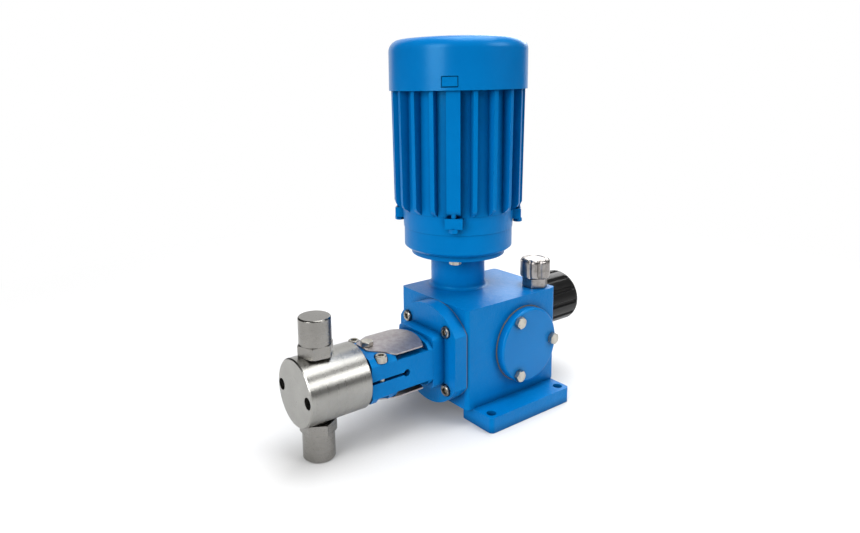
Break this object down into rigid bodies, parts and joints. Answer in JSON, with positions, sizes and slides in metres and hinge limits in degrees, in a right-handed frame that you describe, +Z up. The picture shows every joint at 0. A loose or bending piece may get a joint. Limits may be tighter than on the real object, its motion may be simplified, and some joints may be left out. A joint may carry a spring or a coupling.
{
  "type": "plunger metering pump",
  "caption": "Vertical-motor plunger metering pump: finned motor on a foot-mounted worm gearbox, plunger lantern with split clamp, stainless head with check valves, stroke knob.",
  "frame": {"origin": "centre of the four foot holes, on the underside of the foot", "axes": "+X along the plunger axis towards the stroke knob, -X towards the pump head, -Y towards the round side cover, +Z up along the motor"},
  "size_m": [0.3209, 0.1972, 0.3465],
  "materials": {
    "blue_paint": "semi-gloss enamel over a slightly rough casting",
    "zinc_steel": "plated fastener steel",
    "machined_stainless": "fine turned stainless steel",
    "sheet_stainless": "satin sheet",
    "cap_metal": "bright metal, slightly worn",
    "bearing_steel": "ground and polished",
    "ground_steel": "ground",
    "bronze": "machined",
    "black_plastic": "moulded, low sheen",
    "gasket": "pressed fibre"
  },
  "bodies": {
    "frame": {"gearbox_housing": "blue_paint", "side_cover": "blue_paint", "side_cover_gasket": "gasket", "side_cover_bolts": "zinc_steel", "lantern": "blue_paint", "lantern_gasket": "gasket", "lantern_screws": "zinc_steel", "clamp_screws": "zinc_steel", "guard_top": "sheet_stainless", "guard_bottom": "sheet_stainless", "guard_screws": "zinc_steel", "pump_head": "machined_stainless", "packing_rings": "gasket", "gland_nut": "machined_stainless", "discharge_valve_body": "machined_stainless", "discharge_valve_seat": "bearing_steel", "suction_valve_body": "machined_stainless", "suction_valve_seat": "bearing_steel", "discharge_cap": "machined_stainless", "motor_flange": "blue_paint", "motor_flange_bolts": "zinc_steel", "drive_end_shield": "blue_paint", "motor_frame": "blue_paint", "stator": "ground_steel", "rear_end_shield": "blue_paint", "fan_cowl": "blue_paint", "cowl_screws": "zinc_steel", "tie_bolts": "blue_paint", "terminal_box": "blue_paint", "terminal_box_lid": "blue_paint", "terminal_box_screws": "zinc_steel", "cable_gland": "black_plastic", "motor_bearings": "bearing_steel", "worm_bearings": "bearing_steel", "shaft_bearings": "bearing_steel", "guide_sleeve": "bronze", "stem_bush": "bronze", "adjuster_bush": "ground_steel", "adjuster_screws": "zinc_steel", "oil_filler_cap": "cap_metal", "drain_plug": "zinc_steel"},
    "drive": {"motor_shaft": "ground_steel", "rotor_core": "ground_steel", "cooling_fan": "black_plastic", "shaft_coupling": "ground_steel", "worm": "ground_steel"},
    "crank": {"worm_wheel": "bronze", "eccentric_shaft": "ground_steel", "eccentric_ring": "ground_steel"},
    "plunger_group": {"crosshead": "ground_steel", "stop_yoke": "ground_steel", "plunger": "machined_stainless", "plunger_coupling": "machined_stainless", "return_spring": "ground_steel"},
    "adjuster": {"adjuster_spindle": "ground_steel"},
    "knob": {"stroke_knob": "black_plastic"},
    "discharge_check": {"discharge_ball": "bearing_steel"},
    "suction_check": {"suction_ball": "bearing_steel"}
  },
  "joints": [
    {"name": "motor_spin", "type": "hinge", "parent": "frame", "child": "drive", "pos_m": [-0.0085, 0.0215, 0.2], "axis": [0, 0, 1], "continuous": true},
    {"name": "wheel_spin", "type": "hinge", "parent": "frame", "child": "crank", "pos_m": [0.013, 0, 0.0615], "axis": [0, 1, 0], "continuous": true},
    {"name": "plunger_stroke", "type": "slide", "parent": "frame", "child": "plunger_group", "axis": [-1, 0, 0], "range_m": [0, 0.012], "stiffness_N_per_m": 1500, "deforming": ["return_spring"]},
    {"name": "stroke_adjust", "type": "slide", "parent": "frame", "child": "adjuster", "axis": [-1, 0, 0], "range_m": [0, 0.01205]},
    {"name": "knob_turn", "type": "hinge", "parent": "frame", "child": "knob", "pos_m": [0.08, -0.0085, 0.08], "axis": [-1, 0, 0], "range_deg": [0, 1440]},
    {"name": "discharge_lift", "type": "slide", "parent": "frame", "child": "discharge_check", "axis": [0, 0, 1], "range_m": [0, 0.003]},
    {"name": "suction_lift", "type": "slide", "parent": "frame", "child": "suction_check", "axis": [0, 0, 1], "range_m": [0, 0.003]}
  ],
  "couplings": [
    {"joint": "wheel_spin", "follows": "motor_spin", "ratio": -0.055556},
    {"joint": "stroke_adjust", "follows": "knob_turn", "m_per_rad": 0.00047746}
  ]
}
